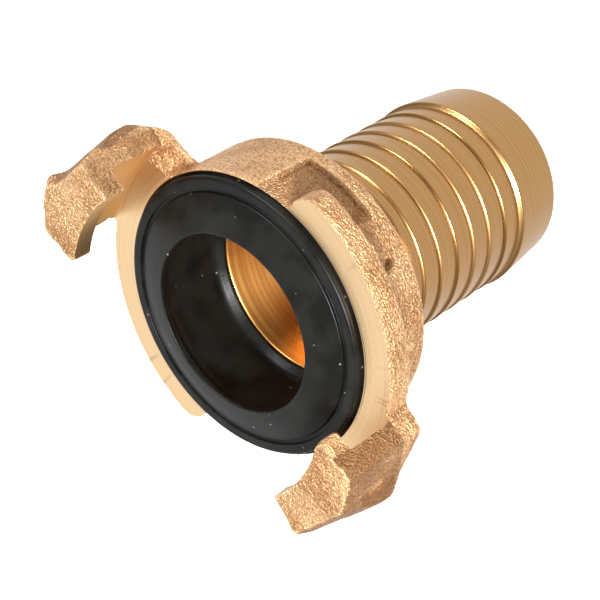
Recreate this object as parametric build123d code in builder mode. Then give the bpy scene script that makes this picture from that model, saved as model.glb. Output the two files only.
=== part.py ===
from build123d import *
import os

os.makedirs("parts", exist_ok=True)

# Millimetres. The coupling stands on the end of its hose tail, +Z towards the sealing face.

# Hose tail: a band at the end, then saw-tooth barbs up to the neck
bore_radius = 10.2
tail_root_radius = 12.35
barb_height = 0.7
barb_pitch = 3.37
barb_count = 6
barb_step = 0.3
band_length = 8.7
band_end_radius = 12.4
band_crest_radius = 13.35
tail_end_chamfer = 0.5
neck_length = 2.0

# Head: a shoulder, a barrel and the seat for the seal
shoulder_length = 5.3
barrel_radius = 18.9
barrel_length = 11.25
barrel_edge_round = 1.0
seat_wall = 0.5
seat_depth = 10.2
seat_chamfer = 0.3
mouth_radius = 12.7
mouth_length = 6.0

# Flange segments, which the other half's lips grip from behind
segment_radius = 22.5
segment_tip_thickness = 3.2
segment_root_thickness = 4.4
segment_start_angle = 8
segment_end_angle = 105
segment_tip_round = 3.0
ramp_steps = 8
ramp_overrun = 10

# Claws: the claw distance is twice the lip radius
lip_radius = 20.0
pocket_radius = 22.9
lip_gap = 6.75
lip_thickness = 2.6
lip_rise = 0.5
claw_reach = 27.0
claw_waist = 25.0
claw_end = 13.1
claw_root = 4.9
claw_corner = 6.6
claw_back = 3.6
claw_ledge = 3.9
claw_edge_round = 0.7
claw_end_round = 0.9
claw_skin = 1.0
root_fall = 1.7
root_slope = 2.2
floor_start = 1.2

# Face seal
seal_clearance = 0.1
seal_proud = 0.95
seal_edge = 0.4
seal_hole_radius = 11.65
seal_hole_rise = 1.6
seal_rim_width = 1.4
seal_groove_width = 0.6
seal_groove_depth = 0.4
seal_lip_edge = 0.8
seal_wall = 4.4
seal_heel_radius = 12.8
seal_heel_height = 1.5

claw_count = 2
overlap = 2.0

neck_height = band_length + barb_count * barb_pitch
shoulder_height = neck_height + neck_length
barrel_height = shoulder_height + shoulder_length
face_height = barrel_height + barrel_length
seat_height = face_height - seat_depth
seat_radius = barrel_radius - seat_wall
lip_underside = face_height + lip_gap
lip_top = lip_underside + lip_thickness
claw_top = lip_top + lip_rise
claw_base = face_height - claw_back
inner_reach = barrel_radius - overlap
claw_angles = [360 / claw_count * turn for turn in range(claw_count)]

# One flange segment: flat in front, with a helical ramp behind that thickens towards its claw
with BuildPart() as segment:
    segment_sweep = segment_end_angle - segment_start_angle
    for step in range(ramp_steps + 1):
        share = step / ramp_steps
        angle = segment_start_angle + segment_sweep * share + ramp_overrun * (2 * share - 1)
        thickness = segment_root_thickness + (segment_tip_thickness - segment_root_thickness) * share
        with BuildSketch(Plane.XZ.rotated((0, 0, angle))):
            with Locations((segment_radius, face_height - thickness / 2)):
                Rectangle(2 * (segment_radius - inner_reach), thickness)
    loft(ruled=True)
    with BuildSketch():
        with BuildLine():
            middle = CenterArc((0, 0), segment_radius - segment_tip_round, segment_start_angle, segment_sweep)
        SlotArc(middle, 2 * segment_tip_round)
    extrude(amount=claw_top, mode=Mode.INTERSECT)

# One claw: a block with three outlines, then the turned channel that leaves the lip
with BuildPart() as claw:
    with BuildSketch(Plane.XY.offset(claw_base - overlap)):
        with BuildLine():
            Polyline(
                (inner_reach, -claw_root),
                (barrel_radius, -claw_root),
                (claw_waist, -claw_root + root_fall),
                (claw_reach, 0),
                (claw_reach, claw_corner),
                (pocket_radius - claw_end_round, claw_end),
                (inner_reach, claw_end - claw_end_round),
                close=True,
            )
        make_face()
        fillet(vertices().filter_by(lambda corner: corner.X > lip_radius), claw_edge_round)
    extrude(amount=claw_top - claw_base + 2 * overlap)
    with BuildSketch(Plane.XZ.offset(-claw_reach)):
        with BuildLine():
            Polyline(
                (inner_reach - claw_skin, claw_base - claw_skin),
                (segment_radius, claw_base),
                (claw_reach - claw_end_round, face_height),
                (claw_reach + claw_skin / 2, face_height + claw_ledge / 2),
                (claw_reach + claw_skin / 2, face_height + claw_ledge),
                (claw_waist, claw_top),
                (lip_radius, lip_top),
                (inner_reach - claw_skin, lip_top),
                close=True,
            )
        make_face()
        fillet(vertices().filter_by(lambda corner: corner.X > segment_radius), claw_edge_round)
    extrude(amount=2 * claw_reach, mode=Mode.INTERSECT)
    with BuildSketch(Plane.YZ):
        with BuildLine():
            Polyline(
                (-claw_root - claw_skin, face_height - root_fall - claw_skin / 2),
                (-claw_root - claw_skin, face_height - root_fall),
                (-claw_root + root_fall, face_height - root_fall / 2),
                (-claw_root + root_fall + root_slope, claw_top + claw_skin),
                (claw_reach, claw_top + claw_skin),
                (claw_reach, claw_base - 2 * overlap),
                (claw_corner, claw_base - claw_skin),
                (0, face_height - root_fall - claw_skin),
                close=True,
            )
        make_face()
        fillet(vertices().filter_by(lambda corner: -claw_root < corner.X < 0), claw_edge_round)
    extrude(amount=claw_reach, mode=Mode.INTERSECT)
    with BuildSketch(Plane.XZ):
        with BuildLine():
            Polyline(
                (0, face_height),
                (pocket_radius, face_height),
                (pocket_radius, lip_underside),
                (lip_radius, lip_underside),
                (lip_radius, claw_top + claw_skin),
                (0, claw_top + claw_skin),
                close=True,
            )
        make_face()
    revolve(axis=Axis.Z, mode=Mode.SUBTRACT)
    with BuildSketch(Plane.YZ):
        with BuildLine():
            Polyline(
                (floor_start, face_height),
                (-claw_root - claw_skin, face_height - root_fall),
                (-claw_root - claw_skin, face_height + claw_skin),
                (floor_start, face_height + claw_skin),
                close=True,
            )
        make_face()
    extrude(amount=pocket_radius - seat_wall, mode=Mode.SUBTRACT)

# Brass body: tail, shoulder and barrel in one profile, then the cast segments and claws
with BuildPart() as coupling_body:
    with BuildSketch(Plane.XZ):
        with BuildLine():
            outline = [
                (bore_radius, 0),
                (band_end_radius - tail_end_chamfer, 0),
                (band_end_radius, tail_end_chamfer),
                (band_crest_radius, band_length),
            ]
            for barb in range(barb_count):
                foot = band_length + barb * barb_pitch
                outline.append((tail_root_radius, foot + barb_step))
                outline.append((tail_root_radius + barb_height, foot + barb_pitch))
            outline += [
                (tail_root_radius, neck_height + barb_step),
                (tail_root_radius, shoulder_height),
                (barrel_radius, barrel_height),
                (barrel_radius, face_height),
                (mouth_radius, face_height),
                (mouth_radius, seat_height),
                (bore_radius, seat_height - mouth_length),
            ]
            Polyline(*outline, close=True)
        make_face()
        fillet(vertices().sort_by_distance((barrel_radius, barrel_height))[0], barrel_edge_round)
    revolve(axis=Axis.Z)
    for angle in claw_angles:
        add(segment.part, rotation=(0, 0, angle))
        add(claw.part, rotation=(0, 0, angle))
    with BuildSketch(Plane.XZ):
        with BuildLine():
            Polyline(
                (0, seat_height),
                (seat_radius, seat_height),
                (seat_radius, face_height - seat_chamfer),
                (seat_radius + seat_chamfer, face_height),
                (seat_radius + seat_chamfer, claw_top + claw_skin),
                (0, claw_top + claw_skin),
                close=True,
            )
        make_face()
    revolve(axis=Axis.Z, mode=Mode.SUBTRACT)

# Moulded rubber seal: flat rim, fine groove, and a lip that rises forward to the waterway
with BuildPart() as face_seal:
    seal_radius = seat_radius - seal_clearance
    seal_front = face_height + seal_proud
    rim_edge = seal_radius - seal_rim_width
    groove_edge = rim_edge - seal_groove_width
    with BuildSketch(Plane.XZ):
        with BuildLine():
            Polyline(
                (seal_radius, seat_height),
                (seal_radius, seal_front - seal_edge),
                (seal_radius - seal_edge, seal_front),
                (rim_edge, seal_front),
                (rim_edge, seal_front - seal_groove_depth),
                (groove_edge, seal_front - seal_groove_depth),
                (groove_edge, seal_front),
                (seal_hole_radius, seal_front + seal_hole_rise),
                (seal_hole_radius, seal_front + seal_hole_rise - seal_lip_edge),
                (seal_radius - seal_wall, face_height),
                (seal_radius - seal_wall, seat_height + seal_heel_height),
                (seal_heel_radius, seat_height),
                close=True,
            )
        make_face()
    revolve(axis=Axis.Z)

coupling_body.part.label = "coupling_body"
face_seal.part.label = "face_seal"

export_step(coupling_body.part, "parts/coupling_body.step")
export_step(face_seal.part, "parts/face_seal.step")
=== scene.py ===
import bmesh, bpy, math
import numpy as np
from mathutils import Matrix, Vector, noise


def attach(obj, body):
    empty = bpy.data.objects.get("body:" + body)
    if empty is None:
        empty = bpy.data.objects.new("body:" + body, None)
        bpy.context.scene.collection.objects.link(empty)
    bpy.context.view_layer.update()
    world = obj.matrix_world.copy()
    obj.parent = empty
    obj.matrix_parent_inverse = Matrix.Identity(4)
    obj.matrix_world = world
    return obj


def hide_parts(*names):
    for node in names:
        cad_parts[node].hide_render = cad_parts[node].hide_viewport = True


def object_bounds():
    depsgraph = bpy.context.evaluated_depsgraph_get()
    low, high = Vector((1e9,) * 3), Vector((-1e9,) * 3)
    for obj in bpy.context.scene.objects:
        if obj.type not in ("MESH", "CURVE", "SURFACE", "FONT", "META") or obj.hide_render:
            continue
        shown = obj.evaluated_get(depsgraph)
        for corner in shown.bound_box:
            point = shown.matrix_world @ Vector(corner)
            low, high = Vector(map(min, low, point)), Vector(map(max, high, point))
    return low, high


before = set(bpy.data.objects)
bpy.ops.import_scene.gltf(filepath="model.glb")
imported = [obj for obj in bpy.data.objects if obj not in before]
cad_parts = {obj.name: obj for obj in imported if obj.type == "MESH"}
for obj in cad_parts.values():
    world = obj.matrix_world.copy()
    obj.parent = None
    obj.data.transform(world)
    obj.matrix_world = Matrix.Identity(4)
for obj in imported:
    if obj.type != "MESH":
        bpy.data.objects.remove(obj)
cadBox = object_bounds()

mm = 0.001
faceHeight = 47.47    # the sealing face, in millimetres above the tail's end
seatHeight = 37.27    # the floor of the seal's seat
boreRadius = 10.2


# Mesh helpers. Outlines are (radius, height, corner rounding) in millimetres.

def roundedOutline(corners, closed=True, arcSteps=5):
    points = []
    for index, (radius, height, rounding) in enumerate(corners):
        here = Vector((radius, height))
        atEnd = not closed and index in (0, len(corners) - 1)
        if rounding == 0 or atEnd:
            points.append(here)
            continue
        before = Vector(corners[index - 1][:2]) - here
        after = Vector(corners[(index + 1) % len(corners)][:2]) - here
        reach = min(rounding, before.length * 0.49, after.length * 0.49)    # neighbouring roundings never meet
        start, end = here + before.normalized() * reach, here + after.normalized() * reach
        for step in range(arcSteps + 1):
            share = step / arcSteps
            points.append(start * (1 - share) ** 2 + here * 2 * share * (1 - share) + end * share ** 2)
    return points


def addSupport(points, closed, margin=0.07):
    # Long straight runs get a point near each end, so that smooth shading keeps them straight
    supported = []
    for index, here in enumerate(points):
        supported.append(here)
        after = points[(index + 1) % len(points)]
        step = after - here
        if (closed or index < len(points) - 1) and step.length > 6 * margin:
            supported += [here + step.normalized() * margin, after - step.normalized() * margin]
    return supported


def addObject(name, mesh):
    piece = bpy.data.objects.new(name, mesh)
    bpy.context.scene.collection.objects.link(piece)
    return piece


def turnedPiece(name, corners, closed=True, steps=192):
    outline = addSupport(roundedOutline(corners, closed), closed)
    work = bmesh.new()
    verts = [work.verts.new((p.x * mm, 0, p.y * mm)) for p in outline]
    pairs = list(zip(verts, verts[1:] + verts[:1]))
    edges = [work.edges.new(pair) for pair in (pairs if closed else pairs[:-1])]
    bmesh.ops.spin(work, geom=verts + edges, cent=(0, 0, 0), axis=(0, 0, 1), angle=2 * math.pi, steps=steps)
    bmesh.ops.remove_doubles(work, verts=work.verts, dist=2e-6)
    bmesh.ops.recalc_face_normals(work, faces=work.faces)
    mesh = bpy.data.meshes.new(name)
    work.to_mesh(mesh)
    work.free()
    return addObject(name, mesh)


def applyModifiers(piece):
    solved = bpy.data.meshes.new_from_object(piece.evaluated_get(bpy.context.evaluated_depsgraph_get()))
    piece.modifiers.clear()
    piece.data = solved


def cutAway(piece, cutter):
    cut = piece.modifiers.new("cut", "BOOLEAN")
    cut.operation = "DIFFERENCE"
    cut.solver = "MANIFOLD"
    cut.object = cutter
    applyModifiers(piece)
    bpy.data.objects.remove(cutter)
    print("cut", piece.name, len(piece.data.vertices), "points, lowest", round(getPoints(piece.data)[:, 2].min(), 2))


def finishMesh(piece, sharpAngle=35):
    piece.data.polygons.foreach_set("use_smooth", [True] * len(piece.data.polygons))
    piece.data.set_sharp_from_angle(angle=math.radians(sharpAngle))
    print("piece", piece.name, len(piece.data.polygons), "faces")


def showAs(piece, node):
    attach(piece, "root")
    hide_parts(node)


def getPoints(mesh):
    flat = np.zeros(len(mesh.vertices) * 3)
    mesh.vertices.foreach_get("co", flat)
    return flat.reshape(-1, 3) / mm


def ramp(low, high, value):
    share = np.clip((value - low) / (high - low), 0, 1)
    return share * share * (3 - 2 * share)


def band(limits, value):
    # Rises between the first two limits and falls between the last two
    return ramp(*limits[:2], value) * (1 - ramp(*limits[2:], value))


# Shader helpers

def addNode(tree, kind, **settings):
    node = tree.nodes.new(kind)
    for key, value in settings.items():
        setattr(node, key, value)
    return node


def newGroup(name, inputs, outputs):
    tree = bpy.data.node_groups.new(name, "ShaderNodeTree")
    for label, value in inputs.items():
        tree.interface.new_socket(label, in_out="INPUT", socket_type="NodeSocketFloat").default_value = value
    for label in outputs:
        tree.interface.new_socket(label, in_out="OUTPUT", socket_type="NodeSocketFloat")
    return tree, tree.nodes.new("NodeGroupInput"), tree.nodes.new("NodeGroupOutput")


def mathNode(tree, operation, first, second=None, third=None):
    node = addNode(tree, "ShaderNodeMath", operation=operation)
    for socket, value in zip(node.inputs, (first, second, third)):
        if value is None:
            continue
        if isinstance(value, (int, float)):
            socket.default_value = value
        else:
            tree.links.new(value, socket)
    return node.outputs[0]


def stretch(tree, value, low, high, start=0.0, end=1.0):
    node = addNode(tree, "ShaderNodeMapRange", interpolation_type="SMOOTHSTEP")
    tree.links.new(value, node.inputs["Value"])
    for label, number in zip(("From Min", "From Max", "To Min", "To Max"), (low, high, start, end)):
        node.inputs[label].default_value = number
    return node.outputs["Result"]


def splitVector(tree, vector):
    node = addNode(tree, "ShaderNodeSeparateXYZ")
    tree.links.new(vector, node.inputs[0])
    return node.outputs


def fromAxis(tree, at):
    across = mathNode(tree, "MULTIPLY", at["X"], at["X"])
    return mathNode(tree, "SQRT", mathNode(tree, "MULTIPLY_ADD", at["Y"], at["Y"], across))


# Shared effects, each built once: sand grain, turning marks, and edge wear with painted shade in creases

grainShape = {
    "cellScale": 0.8, "cellDepth": -0.55, "clumpScale": 0.42, "clumpDepth": 1.5, "patchDepth": -1.2,
    "grainDetail": 3.0, "patchDetail": 4.0, "patchEdges": (0.38, 0.62), "pitEdges": (0.34, 0.10),
}


def makeSandGrain():
    shape = grainShape
    tree, given, made = newGroup("sandGrain", {"Grain Scale": 2600.0, "Patch Scale": 160.0}, ("Height", "Pits", "Patch"))
    place = addNode(tree, "ShaderNodeTexCoord").outputs["Object"]
    grain, patch, clumps = (addNode(tree, "ShaderNodeTexNoise") for _ in range(3))
    cells = addNode(tree, "ShaderNodeTexVoronoi", feature="SMOOTH_F1")
    grain.inputs["Detail"].default_value = shape["grainDetail"]
    patch.inputs["Detail"].default_value = shape["patchDetail"]
    fine = given.outputs["Grain Scale"]
    for node, scale in (
            (grain, fine), (cells, mathNode(tree, "MULTIPLY", fine, shape["cellScale"])),
            (clumps, mathNode(tree, "MULTIPLY", fine, shape["clumpScale"])), (patch, given.outputs["Patch Scale"])):
        tree.links.new(place, node.inputs["Vector"])
        tree.links.new(scale, node.inputs["Scale"])
    height = mathNode(tree, "MULTIPLY_ADD", cells.outputs["Distance"], shape["cellDepth"], grain.outputs["Fac"])
    patches = stretch(tree, patch.outputs["Fac"], *shape["patchEdges"])
    coarse = mathNode(tree, "MULTIPLY_ADD", patches, shape["patchDepth"], shape["clumpDepth"])
    coarse = mathNode(tree, "MULTIPLY", coarse, clumps.outputs["Fac"])
    tree.links.new(mathNode(tree, "ADD", height, coarse), made.inputs["Height"])
    tree.links.new(stretch(tree, height, *shape["pitEdges"]), made.inputs["Pits"])
    tree.links.new(patches, made.inputs["Patch"])
    return tree


markShape = {"chatterDetail": 3.0, "chatterScale": 0.6, "waveShare": 0.3, "shadeEdges": (0.3, 0.7)}


def makeTurningMarks():
    shape = markShape
    tree, given, made = newGroup("turningMarks", {"Pitch": 0.0003, "Along Axis": 0.0}, ("Height", "Shade", "Line"))
    at = splitVector(tree, addNode(tree, "ShaderNodeTexCoord").outputs["Object"])
    blend = addNode(tree, "ShaderNodeMix", data_type="FLOAT")
    tree.links.new(given.outputs["Along Axis"], blend.inputs["Factor"])
    tree.links.new(fromAxis(tree, at), blend.inputs["A"])
    tree.links.new(at["Z"], blend.inputs["B"])
    turns = mathNode(tree, "DIVIDE", blend.outputs["Result"], given.outputs["Pitch"])
    wave = mathNode(tree, "SINE", mathNode(tree, "MULTIPLY", turns, 2 * math.pi))
    chatter = addNode(tree, "ShaderNodeTexNoise", noise_dimensions="1D")
    chatter.inputs["Detail"].default_value = shape["chatterDetail"]
    chatter.inputs["Scale"].default_value = shape["chatterScale"]
    tree.links.new(turns, chatter.inputs["W"])
    rough = chatter.outputs["Fac"]
    tree.links.new(mathNode(tree, "MULTIPLY_ADD", wave, shape["waveShare"], rough), made.inputs["Height"])
    tree.links.new(stretch(tree, rough, *shape["shadeEdges"]), made.inputs["Shade"])
    tree.links.new(stretch(tree, wave, -1.0, 1.0), made.inputs["Line"])
    return tree


def makeEdgeWearAndCreaseShade():
    tree, given, made = newGroup("edgeWearAndCreaseShade", {"Reach": 0.06}, ("Edge", "CreaseShade"))
    bend = mathNode(tree, "SUBTRACT", addNode(tree, "ShaderNodeNewGeometry").outputs["Pointiness"], 0.5)
    share = mathNode(tree, "DIVIDE", bend, given.outputs["Reach"])
    tree.links.new(stretch(tree, share, 0.1, 1.0), made.inputs["Edge"])
    # The second output is painted shade: darker where the surface is concave
    tree.links.new(stretch(tree, share, -0.1, -1.0), made.inputs["CreaseShade"])
    return tree


sandGrain, turningMarks, edgeWearAndCreaseShade = makeSandGrain(), makeTurningMarks(), makeEdgeWearAndCreaseShade()


# Materials

def useGroup(material, tree, **values):
    node = addNode(material.node_tree, "ShaderNodeGroup", node_tree=tree)
    for label, value in values.items():
        node.inputs[label.replace("_", " ")].default_value = value
    return node.outputs


def newMaterial(name, metallic):
    material = bpy.data.materials.new(name)
    material.use_nodes = True
    shader = material.node_tree.nodes["Principled BSDF"]
    shader.inputs["Metallic"].default_value = metallic
    return material, material.node_tree, shader


def mixColour(tree, mask, share, first, second):
    # Share of the second colour where the mask is 1
    node = addNode(tree, "ShaderNodeMix", data_type="RGBA")
    tree.links.new(mask if share == 1 else mathNode(tree, "MULTIPLY", mask, share), node.inputs["Factor"])
    for socket, value in ((node.inputs["A"], first), (node.inputs["B"], second)):
        if isinstance(value, tuple):
            socket.default_value = (*value, 1)
        else:
            tree.links.new(value, socket)
    return node.outputs["Result"]


def addBump(tree, shader, height, strength, distance):
    bump = addNode(tree, "ShaderNodeBump")
    bump.inputs["Strength"].default_value = strength
    bump.inputs["Distance"].default_value = distance
    tree.links.new(height, bump.inputs["Height"])
    tree.links.new(bump.outputs["Normal"], shader.inputs["Normal"])


castLook = {
    "metallic": 0.85, "roughness": (0.36, 0.6), "grainScale": 4000.0, "patchScale": 170.0, "wearAndCreaseShadeReach": 0.05,
    # skin colours the painted shade on the claws' outer sides and the darker claw ends and recess
    "dark": (0.56, 0.31, 0.14), "light": (0.74, 0.45, 0.23), "skin": (0.27, 0.12, 0.04),
    # pit colours the sand pits and also the painted shade in creases
    "pitAndCreaseShade": (0.20, 0.07, 0.02), "pitShare": 0.55, "creaseShadeShare": 0.8, "edge": (0.90, 0.60, 0.32), "edgeShare": 0.6,
    # Shares of that painted shade and darker tone: overall, on tip and root ends, and in the recess
    "paintedShadeAndDarkening": 0.76, "tipDarkening": 0.95, "rootDarkening": 0.25, "recessDarkening": 0.42,
    "bump": 1.0, "bumpDepth": 0.0004, "endGrain": 1.6,
}
# Where the painted shade and the darker tone lie, in metres, and how squarely a surface has to face that way
paintedShadeAndDarkeningPlace = {
    "shadedSideFacing": (0.5, 0.85), "shadedSideReach": (0.0242, 0.0252),
    "endFacing": (0.35, 0.65), "endReach": (0.0186, 0.0192), "endStart": (0.0470, 0.0476), "handSwitch": (-0.01, 0.01),
    "recessReach": (0.01872, 0.0185), "recessStart": (0.0380, 0.0384), "recessStop": (0.0476, 0.0472),
}


def addPaintedShadeAndDarkening(tree):
    # Painted shade on the claws' outer sides, and a darker tone on the claws' ends and in the barrel's recess, which
    # also get a rougher grain
    zone = paintedShadeAndDarkeningPlace
    place = addNode(tree, "ShaderNodeTexCoord").outputs
    at, facing = splitVector(tree, place["Object"]), splitVector(tree, place["Normal"])
    width = mathNode(tree, "ABSOLUTE", at["X"])
    # Painted shade: the claws' outer sides, facing along X, are darkened
    paintedSideShade = stretch(tree, mathNode(tree, "ABSOLUTE", facing["X"]), *zone["shadedSideFacing"])
    paintedSideShade = mathNode(tree, "MULTIPLY", paintedSideShade, stretch(tree, width, *zone["shadedSideReach"]))
    end = stretch(tree, mathNode(tree, "ABSOLUTE", facing["Y"]), *zone["endFacing"])
    end = mathNode(tree, "MULTIPLY", end, stretch(tree, width, *zone["endReach"]))
    end = mathNode(tree, "MULTIPLY", end, stretch(tree, at["Z"], *zone["endStart"]))
    recess = stretch(tree, fromAxis(tree, at), *zone["recessReach"])
    recess = mathNode(tree, "MULTIPLY", recess, stretch(tree, at["Z"], *zone["recessStart"]))
    recess = mathNode(tree, "MULTIPLY", recess, stretch(tree, at["Z"], *zone["recessStop"]))
    hand = mathNode(tree, "MULTIPLY", at["X"], facing["Y"])    # above 0 on the tip ends, below on the root ends
    hand = stretch(tree, hand, *zone["handSwitch"], castLook["rootDarkening"], castLook["tipDarkening"])
    # The painted side shade, the darker ends and the darker recess, together
    skin = mathNode(tree, "MAXIMUM", paintedSideShade, mathNode(tree, "MULTIPLY", end, hand))
    skin = mathNode(tree, "MAXIMUM", skin, mathNode(tree, "MULTIPLY", recess, castLook["recessDarkening"]))
    return skin, mathNode(tree, "MAXIMUM", end, recess)


def makeCastBrass():
    look = castLook
    material, tree, shader = newMaterial("castBrass", look["metallic"])
    sand = useGroup(material, sandGrain, Grain_Scale=look["grainScale"], Patch_Scale=look["patchScale"])
    wornAndCreaseShade = useGroup(material, edgeWearAndCreaseShade, Reach=look["wearAndCreaseShadeReach"])
    paintedShadeAndDarkening, coarse = addPaintedShadeAndDarkening(tree)
    colour = mixColour(tree, sand["Patch"], 1, look["dark"], look["light"])
    colour = mixColour(tree, sand["Pits"], look["pitShare"], colour, look["pitAndCreaseShade"])
    colour = mixColour(tree, wornAndCreaseShade["Edge"], look["edgeShare"], colour, look["edge"])
    # Painted shade: creases and hollows darkened with the pit colour
    colour = mixColour(tree, wornAndCreaseShade["CreaseShade"], look["creaseShadeShare"], colour, look["pitAndCreaseShade"])
    # Painted shade on the claws' outer sides, and the darker claw ends and recess
    colour = mixColour(tree, paintedShadeAndDarkening, look["paintedShadeAndDarkening"], colour, look["skin"])
    tree.links.new(colour, shader.inputs["Base Color"])
    tree.links.new(stretch(tree, sand["Pits"], 0.0, 1.0, *look["roughness"]), shader.inputs["Roughness"])
    coarser = mathNode(tree, "MULTIPLY_ADD", coarse, look["endGrain"], 1.0)
    addBump(tree, shader, mathNode(tree, "MULTIPLY", sand["Height"], coarser), look["bump"], look["bumpDepth"])
    return material


faceLook = {
    "dark": (0.88, 0.62, 0.35), "light": (0.94, 0.69, 0.41), "pitch": 0.00027, "alongAxis": 0.0,
    "line": (0.62, 0.38, 0.17), "lineShare": 0.38, "roughness": (0.28, 0.36), "bump": 0.6, "bumpDepth": 0.00004,
}
# The tail's brass colour is darkened and deepened to orange: brass with painted shade
tailLookPaintedShade = {
    "dark": (0.47, 0.260, 0.092), "light": (0.57, 0.323, 0.130), "pitch": 0.00022, "alongAxis": 1.0,
    "line": (0.38, 0.20, 0.075), "lineShare": 0.15, "roughness": (0.22, 0.32), "bump": 0.3, "bumpDepth": 0.00001,
}
# The bore's brass is a deeper orange copy: brass colour with a painted reflection of the brass around it
boreLookPaintedReflection = {
    "dark": (0.68, 0.31, 0.08), "light": (0.74, 0.36, 0.10), "pitch": 0.0003, "alongAxis": 1.0,
    "line": (0.74, 0.34, 0.08), "lineShare": 0.1, "roughness": (0.36, 0.4), "bump": 0.1, "bumpDepth": 0.000002,
}


def makeTurnedBrass(name, look):
    material, tree, shader = newMaterial(name, 1.0)
    marks = useGroup(material, turningMarks, Pitch=look["pitch"], Along_Axis=look["alongAxis"])
    colour = mixColour(tree, marks["Shade"], 1, look["dark"], look["light"])
    colour = mixColour(tree, marks["Line"], look["lineShare"], colour, look["line"])
    tree.links.new(colour, shader.inputs["Base Color"])
    tree.links.new(stretch(tree, marks["Shade"], 0.0, 1.0, *look["roughness"]), shader.inputs["Roughness"])
    addBump(tree, shader, marks["Height"], look["bump"], look["bumpDepth"])
    return material


rubberLook = {
    "dark": (0.004, 0.004, 0.0035), "light": (0.008, 0.0082, 0.007), "roughness": (0.33, 0.40), "specular": 0.17,
    "grainScale": 5200.0, "patchScale": 240.0, "bump": 0.25, "bumpDepth": 0.00004,
    "speck": (0.30, 0.29, 0.27), "speckScale": 420.0, "speckEdges": (0.075, 0.045), "speckShare": 0.5,
}


def makeRubber():
    look = rubberLook
    material, tree, shader = newMaterial("sealRubber", 0.0)
    shader.inputs["Specular IOR Level"].default_value = look["specular"]
    sand = useGroup(material, sandGrain, Grain_Scale=look["grainScale"], Patch_Scale=look["patchScale"])
    # Pale specks scattered over the rubber
    speckCells = addNode(tree, "ShaderNodeTexVoronoi")
    speckCells.inputs["Scale"].default_value = look["speckScale"]
    tree.links.new(addNode(tree, "ShaderNodeTexCoord").outputs["Object"], speckCells.inputs["Vector"])
    specks = stretch(tree, speckCells.outputs["Distance"], *look["speckEdges"])
    colour = mixColour(tree, sand["Patch"], 1, look["dark"], look["light"])
    colour = mixColour(tree, specks, look["speckShare"], colour, look["speck"])
    tree.links.new(colour, shader.inputs["Base Color"])
    tree.links.new(stretch(tree, sand["Patch"], 0.0, 1.0, *look["roughness"]), shader.inputs["Roughness"])
    addBump(tree, shader, sand["Height"], look["bump"], look["bumpDepth"])
    return material


castBrass = makeCastBrass()
faceBrass = makeTurnedBrass("faceBrass", faceLook)
tailBrassPaintedShade = makeTurnedBrass("tailBrassPaintedShade", tailLookPaintedShade)
boreBrassPaintedReflection = makeTurnedBrass("boreBrassPaintedReflection", boreLookPaintedReflection)
sealRubber = makeRubber()
print("stage materials")


# The cast head: barrel, flange segments and claws, then the cuts that turn its face, channels and seat

headCast = {
    "plugRadius": 18.3, "plugBottom": 36.0, "plugTop": 47.2,    # fills the seat while the skin is made
    "voxel": 0.4, "softness": 0.5, "smoothing": 3, "boxMargin": 0.01, "sharpAngle": 38,
    # Metal left on for the cutters: on the face, under the lips and on the channels' walls
    "stock": 0.3, "faceBand": (46.2, 47.2, 49.0, 50.0), "lipBand": (53.0, 54.0, 54.8, 56.0), "lipReach": (23.2, 24.2),
    "wallReach": (23.4, 24.6), "wallStart": (47.8, 48.6),
    "waveScale": 260.0, "waveDepth": 0.08, "lumpScale": 1100.0, "lumpDepth": 0.08,
    # Dents are (x, y, z, reach, depth), and a depth below 0 is a bump
    "dents": ((-3.7, -18.7, 39.6, 0.7, 0.6), (-4.3, -18.5, 40.4, 0.6, 0.35), (26.0, 7.2, 56.0, 1.3, -1.1)),
    # The claws' outer sides are dished, with a low rib below
    "scoopHeight": 52.6, "scoopReach": 1.7, "scoopDepth": 0.8, "ribHeight": 48.4, "ribReach": 1.1, "ribDepth": 0.55,
    "clawSide": (24.0, 25.6), "clawStart": (48.5, 50.0), "clawGrowth": 0.16,
    # The shallow recess in the barrel beside each segment's tip, from one angle to another in degrees
    "reliefStart": -86.0, "reliefEnd": -50.5, "reliefEase": 6.0, "reliefWall": 0.9,
    "reliefBack": 38.2, "reliefStep": 0.35, "reliefSkin": (18.0, 18.5, 19.0, 19.4),
    "reliefDepth": 0.65, "reliefFront": 0.25, "reliefTaper": 43.0,
}
headCuts = {
    "backCut": 36.5, "cutterRadius": 30.0, "below": -5.0, "above": 60.0, "seatFloor": 30.0,
    "seatRadius": 18.4, "seatBody": 17.2, "seatRim": 1.0, "seatChamfer": 0.3,
    "pocketRadius": 22.9, "lipRadius": 20.0, "lipUnderside": 54.22,
    "flatGap": 0.01, "wallGap": 0.03, "facing": 0.99, "lean": 0.01,    # how near a face is to a cut to be turned metal
}


def makeSkin(head):
    part = headCast
    plug = turnedPiece("plug", [
        (0, part["plugBottom"], 0), (part["plugRadius"], part["plugBottom"], 0),
        (part["plugRadius"], part["plugTop"], 0), (0, part["plugTop"], 0)], closed=False, steps=96)
    work = bmesh.new()
    work.from_mesh(head.data)
    work.from_mesh(plug.data)
    bmesh.ops.remove_doubles(work, verts=work.verts, dist=1e-7)
    work.to_mesh(head.data)
    work.free()
    bpy.data.objects.remove(plug)
    skin = head.modifiers.new("skin", "REMESH")
    skin.mode = "VOXEL"
    skin.voxel_size = part["voxel"] * mm
    soften = head.modifiers.new("soften", "SMOOTH")
    soften.factor = part["softness"]
    soften.iterations = part["smoothing"]
    applyModifiers(head)


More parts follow.
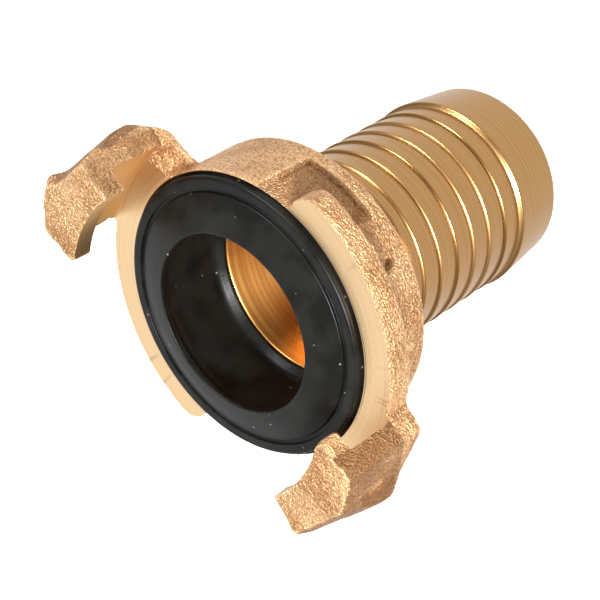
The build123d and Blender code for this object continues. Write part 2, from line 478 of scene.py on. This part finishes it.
def shapeSkin(head):
    part = headCast
    points = getPoints(head.data)
    radius, height = np.hypot(points[:, 0], points[:, 1]), points[:, 2]
    turn = np.degrees(np.arctan2(points[:, 1], points[:, 0]))
    turn = (turn - part["reliefStart"]) % 180 + part["reliefStart"]
    lift = band(part["faceBand"], height) - band(part["lipBand"], height) * (1 - ramp(*part["lipReach"], radius))
    wall = (1 - ramp(*part["wallReach"], radius)) * ramp(*part["wallStart"], height) * part["stock"]
    start, end, back = part["reliefStart"], part["reliefEnd"], part["reliefBack"]
    relief = band((start, start + part["reliefEase"], end - part["reliefWall"], end), turn)
    relief = relief * ramp(back, back + part["reliefStep"], height) * band(part["reliefSkin"], radius)
    taper = ramp(part["reliefTaper"], faceHeight, height)
    depth = part["reliefDepth"] + (part["reliefFront"] - part["reliefDepth"]) * taper
    shrink = wall + relief * depth
    points[:, 0] *= 1 - shrink / np.maximum(radius, 1)
    points[:, 1] *= 1 - shrink / np.maximum(radius, 1)
    points[:, 2] += lift * part["stock"]
    normals = np.zeros(len(points) * 3)
    head.data.vertices.foreach_get("normal", normals)
    wave = np.array([noise.noise(Vector(p) * part["waveScale"] * mm) for p in points])
    lump = np.array([noise.noise(Vector(p) * part["lumpScale"] * mm) for p in points])
    inset = (0.5 + 0.5 * wave) * part["waveDepth"] + (0.5 + 0.5 * lump) * part["lumpDepth"]
    for x, y, z, reach, dent in part["dents"]:
        inset += dent * np.exp(-((points - (x, y, z)) ** 2).sum(axis=1) / reach ** 2)
    scoop = np.exp(-((height - part["scoopHeight"]) / part["scoopReach"]) ** 2) * part["scoopDepth"]
    rib = np.exp(-((height - part["ribHeight"]) / part["ribReach"]) ** 2) * part["ribDepth"]
    inset += (scoop - rib) * ramp(*part["clawSide"], np.abs(points[:, 0]))
    inset -= ramp(*part["clawStart"], height) * part["clawGrowth"]
    points -= normals.reshape(-1, 3) * inset[:, None]
    low, high = np.array(cadBox[0]) / mm, np.array(cadBox[1]) / mm
    points = np.clip(points, low + part["boxMargin"], high - part["boxMargin"])
    head.data.vertices.foreach_set("co", (points * mm).ravel())
    head.data.update()
    print("stage head skin", len(points))


def cutHead(head):
    part = headCuts
    cutAway(head, turnedPiece("backCutter", [
        (0, part["below"], 0), (part["cutterRadius"], part["below"], 0),
        (part["cutterRadius"], part["backCut"], 0), (0, part["backCut"], 0)], closed=False))
    rim, chamfer = faceHeight - part["seatRim"], part["seatChamfer"]
    cutAway(head, turnedPiece("faceCutter", [
        (0, part["seatFloor"], 0), (part["seatBody"], part["seatFloor"], 0), (part["seatBody"], rim, 0),
        (part["seatRadius"], rim, 0), (part["seatRadius"], faceHeight - chamfer, 0),
        (part["seatRadius"] + chamfer, faceHeight, 0), (part["pocketRadius"], faceHeight, 0),
        (part["pocketRadius"], part["lipUnderside"], 0), (part["lipRadius"], part["lipUnderside"], 0),
        (part["lipRadius"], part["above"], 0), (0, part["above"], 0)], closed=False, steps=240))


def isTurned(face):
    part = headCuts
    middle, way = face.center / mm, face.normal
    across = math.hypot(middle.x, middle.y)
    inward = -(way.x * middle.x + way.y * middle.y) / across
    onFace = abs(middle.z - faceHeight) < part["flatGap"] and way.z > part["facing"]
    wallGap = min(abs(across - part["pocketRadius"]), abs(across - part["lipRadius"]))
    onWall = wallGap < part["wallGap"] and inward > part["facing"]
    underLip = abs(middle.z - part["lipUnderside"]) < part["flatGap"] and way.z < -part["facing"]
    inSeat = across < part["seatRadius"] + part["seatChamfer"] and middle.z <= faceHeight and inward > -part["lean"]
    return onFace or (middle.z > faceHeight and (onWall or underLip)) or inSeat


def makeHead():
    head = addObject("couplingHead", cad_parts["coupling_body"].data.copy())
    makeSkin(head)
    shapeSkin(head)
    cutHead(head)
    head.data.materials.clear()
    head.data.materials.append(castBrass)
    head.data.materials.append(faceBrass)
    for face in head.data.polygons:
        face.material_index = 1 if isTurned(face) else 0
    finishMesh(head, headCast["sharpAngle"])
    showAs(head, "coupling_body")


makeHead()
print("stage head")


# The turned hose tail with its shoulder, bore and mouth, and the barbs on it

tailTurn = {
    "endRadius": 12.4, "chamfer": 0.5, "bandLength": 8.7, "crestRadius": 13.35, "rootRadius": 12.75, "step": 0.38,
    "neckTop": 30.92, "shoulderRadius": 18.55, "shoulderTop": 36.5, "mouthRadius": 12.7, "mouthLength": 6.0,
    "coreRadius": 17.0, "coreStep": 0.1, "lean": 0.1,
}
barbRing = {
    "count": 6, "pitch": 3.37, "start": 8.7, "rootRadius": 12.75, "height": 0.32, "step": 0.20,
    "sunk": 0.4, "crestRounding": 0.24, "rootRounding": 0.08,
}


def makeTail():
    part = tailTurn
    tail = turnedPiece("hoseTail", [
        (boreRadius, 0, 0.25), (part["endRadius"] - part["chamfer"], 0, 0.2), (part["endRadius"], part["chamfer"], 0.3),
        (part["crestRadius"], part["bandLength"], 0.2), (part["rootRadius"], part["bandLength"] + part["step"], 0.1),
        (part["rootRadius"], part["neckTop"], 1.6), (part["shoulderRadius"], part["shoulderTop"], 0),
        (part["coreRadius"], part["shoulderTop"] + part["coreStep"], 0), (part["coreRadius"], seatHeight, 0),
        (part["mouthRadius"], seatHeight, 0.25), (boreRadius, seatHeight - part["mouthLength"], 0.6)], steps=256)
    mesh = tail.data
    mesh.materials.append(tailBrassPaintedShade)
    mesh.materials.append(boreBrassPaintedReflection)
    for face in mesh.polygons:
        middle, way = face.center / mm, face.normal
        outwards = way.x * middle.x + way.y * middle.y
        inner = outwards < -part["lean"] and math.hypot(middle.x, middle.y) < part["mouthRadius"]
        face.material_index = 1 if inner else 0
    finishMesh(tail)
    showAs(tail, "coupling_body")


def buildBarbRows():
    # One barb ring is repeated along the axis
    tree = bpy.data.node_groups.new("barbRows", "GeometryNodeTree")
    inputs = (("Barb", "Geometry"), ("Count", "Int"), ("Pitch", "Float"), ("Start", "Float"), ("Finish", "Material"))
    sockets = {}
    for label, kind in inputs:
        sockets[label] = tree.interface.new_socket(label, in_out="INPUT", socket_type="NodeSocket" + kind)
    tree.interface.new_socket("Rows", in_out="OUTPUT", socket_type="NodeSocketGeometry")
    given, made = tree.nodes.new("NodeGroupInput"), tree.nodes.new("NodeGroupOutput")
    line = addNode(tree, "GeometryNodeMeshLine", mode="OFFSET")
    place, gap = addNode(tree, "ShaderNodeCombineXYZ"), addNode(tree, "ShaderNodeCombineXYZ")
    copies = addNode(tree, "GeometryNodeInstanceOnPoints")
    real, finish = addNode(tree, "GeometryNodeRealizeInstances"), addNode(tree, "GeometryNodeSetMaterial")
    for source, target in (
            (given.outputs["Start"], place.inputs["Z"]), (given.outputs["Pitch"], gap.inputs["Z"]),
            (given.outputs["Count"], line.inputs["Count"]), (place.outputs[0], line.inputs["Start Location"]),
            (gap.outputs[0], line.inputs["Offset"]), (line.outputs[0], copies.inputs["Points"]),
            (given.outputs["Barb"], copies.inputs["Instance"]), (copies.outputs[0], real.inputs[0]),
            (real.outputs[0], finish.inputs["Geometry"]), (given.outputs["Finish"], finish.inputs["Material"]),
            (finish.outputs[0], made.inputs["Rows"])):
        tree.links.new(source, target)
    return tree, sockets


def makeBarbs():
    part = barbRing
    root, inner = part["rootRadius"], part["rootRadius"] - part["sunk"]
    barbs = turnedPiece("tailBarbs", [
        (inner, part["step"], 0), (root, part["step"], 0),
        (root + part["height"], part["pitch"], part["crestRounding"]),
        (root, part["pitch"] + part["step"], part["rootRounding"]),
        (inner, part["pitch"] + part["step"], 0)], steps=256)
    tree, sockets = buildBarbRows()
    rows = barbs.modifiers.new("rows", "NODES")
    rows.node_group = tree
    values = {"Count": part["count"], "Pitch": part["pitch"] * mm, "Start": part["start"] * mm, "Finish": tailBrassPaintedShade}
    for label, value in values.items():
        rows[sockets[label].identifier] = value
    applyModifiers(barbs)
    finishMesh(barbs)
    showAs(barbs, "coupling_body")


makeTail()
makeBarbs()
print("stage tail")


# The moulded face seal

sealForm = {
    "radius": 18.3, "bodyRadius": 17.1, "rimStep": 1.0, "proud": 0.95, "rimWidth": 1.4, "grooveWidth": 0.6,
    "grooveDepth": 0.4, "holeRadius": 11.65, "holeRise": 1.6, "swell": 0.62, "lipEdge": 0.8, "wall": 4.4,
    "heelRadius": 12.8, "heelHeight": 1.5, "heelGap": 0.05, "sharpAngle": 50,
}


def makeSeal():
    part = sealForm
    front, heel = faceHeight + part["proud"], seatHeight + part["heelGap"]
    rim, inner = part["radius"] - part["rimWidth"], part["radius"] - part["wall"]
    groove = rim - part["grooveWidth"]
    seal = turnedPiece("faceSeal", [
        (part["bodyRadius"], heel, 0.2), (part["bodyRadius"], faceHeight - part["rimStep"], 0),
        (part["radius"], faceHeight - part["rimStep"], 0.1), (part["radius"], front, 0.5),
        (rim, front, 0.15), (rim, front - part["grooveDepth"], 0.12), (groove, front - part["grooveDepth"], 0.12),
        (groove, front, 0.15), ((groove + part["holeRadius"]) / 2, front + part["holeRise"] * part["swell"], 2.2),
        (part["holeRadius"], front + part["holeRise"], 0.3),
        (part["holeRadius"], front + part["holeRise"] - part["lipEdge"], 0.3),
        (inner, faceHeight, 1.5), (inner, seatHeight + part["heelHeight"], 0.6),
        (part["heelRadius"], heel, 0.3)], steps=256)
    seal.data.materials.append(sealRubber)
    finishMesh(seal, part["sharpAngle"])
    showAs(seal, "face_seal")


makeSeal()
print("stage seal")


# Studio: floor, world, lights and camera

cameraSettings = {
    "offAxis": 50.83,        # degrees between the waterway's axis and the line of sight
    "roll": -121.5,          # the coupling is seen tipped over, with its tail to the upper right
    "distance": 0.220,
    "lens": 110.0,
    "target": (-0.00185, -0.00465, 0.0427),
}
studio = {
    "floorSize": 3.0, "floorColour": (0.93, 0.93, 0.93), "floorGlow": 0.6, "worldLight": 0.34, "aim": (0, 0, 0.03),
    # Each light is (name, place, size, energy)
    "lights": (
        ("keyLight", (-0.147, -0.231, 0.315), 0.08, 3.6),
        ("topLight", (0.27, -0.14, 0.24), 0.12, 1.1),
        ("backLight", (0, 0.31, 0.28), 0.5, 0.62)),
}


def addCamera():
    data = bpy.data.cameras.new("viewCamera")
    data.lens = cameraSettings["lens"]
    data.sensor_width = 36
    data.clip_start = 0.01
    camera = addObject("viewCamera", data)
    tilt = Matrix.Rotation(math.radians(cameraSettings["offAxis"]), 4, "X")
    roll = Matrix.Rotation(math.radians(cameraSettings["roll"]), 4, "Z")
    back = tilt @ Vector((0, 0, cameraSettings["distance"]))
    camera.matrix_world = Matrix.Translation(Vector(cameraSettings["target"]) + back) @ tilt @ roll
    bpy.context.scene.camera = camera


def addLight(name, place, size, energy):
    data = bpy.data.lights.new(name, "AREA")
    data.size = size
    data.energy = energy
    light = addObject(name, data)
    light.location = place
    light.rotation_euler = (Vector(studio["aim"]) - Vector(place)).to_track_quat("-Z", "Y").to_euler()


def addFloor():
    bpy.ops.mesh.primitive_plane_add(size=studio["floorSize"], location=(0, 0, 0))
    floor = bpy.context.object
    floor.name = "studioFloor"
    material, tree, shader = newMaterial("paleFloor", 0.0)
    shader.inputs["Base Color"].default_value = (*studio["floorColour"], 1)
    shader.inputs["Roughness"].default_value = 1.0
    shader.inputs["Emission Color"].default_value = (1, 1, 1, 1)
    path = addNode(tree, "ShaderNodeLightPath").outputs
    lit = mathNode(tree, "MULTIPLY", path["Is Camera Ray"], studio["floorGlow"])
    tree.links.new(lit, shader.inputs["Emission Strength"])
    # Metal and glass see the same white floor
    white, choose = addNode(tree, "ShaderNodeEmission"), addNode(tree, "ShaderNodeMixShader")
    white.inputs["Color"].default_value = (1, 1, 1, 1)
    seen = mathNode(tree, "MAXIMUM", path["Is Glossy Ray"], path["Is Transmission Ray"])
    for source, target in (
            (seen, choose.inputs["Fac"]), (shader.outputs[0], choose.inputs[1]), (white.outputs[0], choose.inputs[2]),
            (choose.outputs[0], tree.nodes["Material Output"].inputs["Surface"])):
        tree.links.new(source, target)
    floor.data.materials.append(material)


def addWorld():
    world = bpy.data.worlds.new("studio")
    bpy.context.scene.world = world
    world.use_nodes = True
    tree = world.node_tree
    sky = tree.nodes["Background"]
    seen = addNode(tree, "ShaderNodeLightPath").outputs["Is Camera Ray"]
    tree.links.new(stretch(tree, seen, 0.0, 1.0, studio["worldLight"], 1.0), sky.inputs["Strength"])
    sky.inputs["Color"].default_value = (1, 1, 1, 1)
    bpy.context.scene.view_settings.view_transform = "Standard"


addFloor()
addWorld()
for light in studio["lights"]:
    addLight(*light)
addCamera()
print("stage studio")
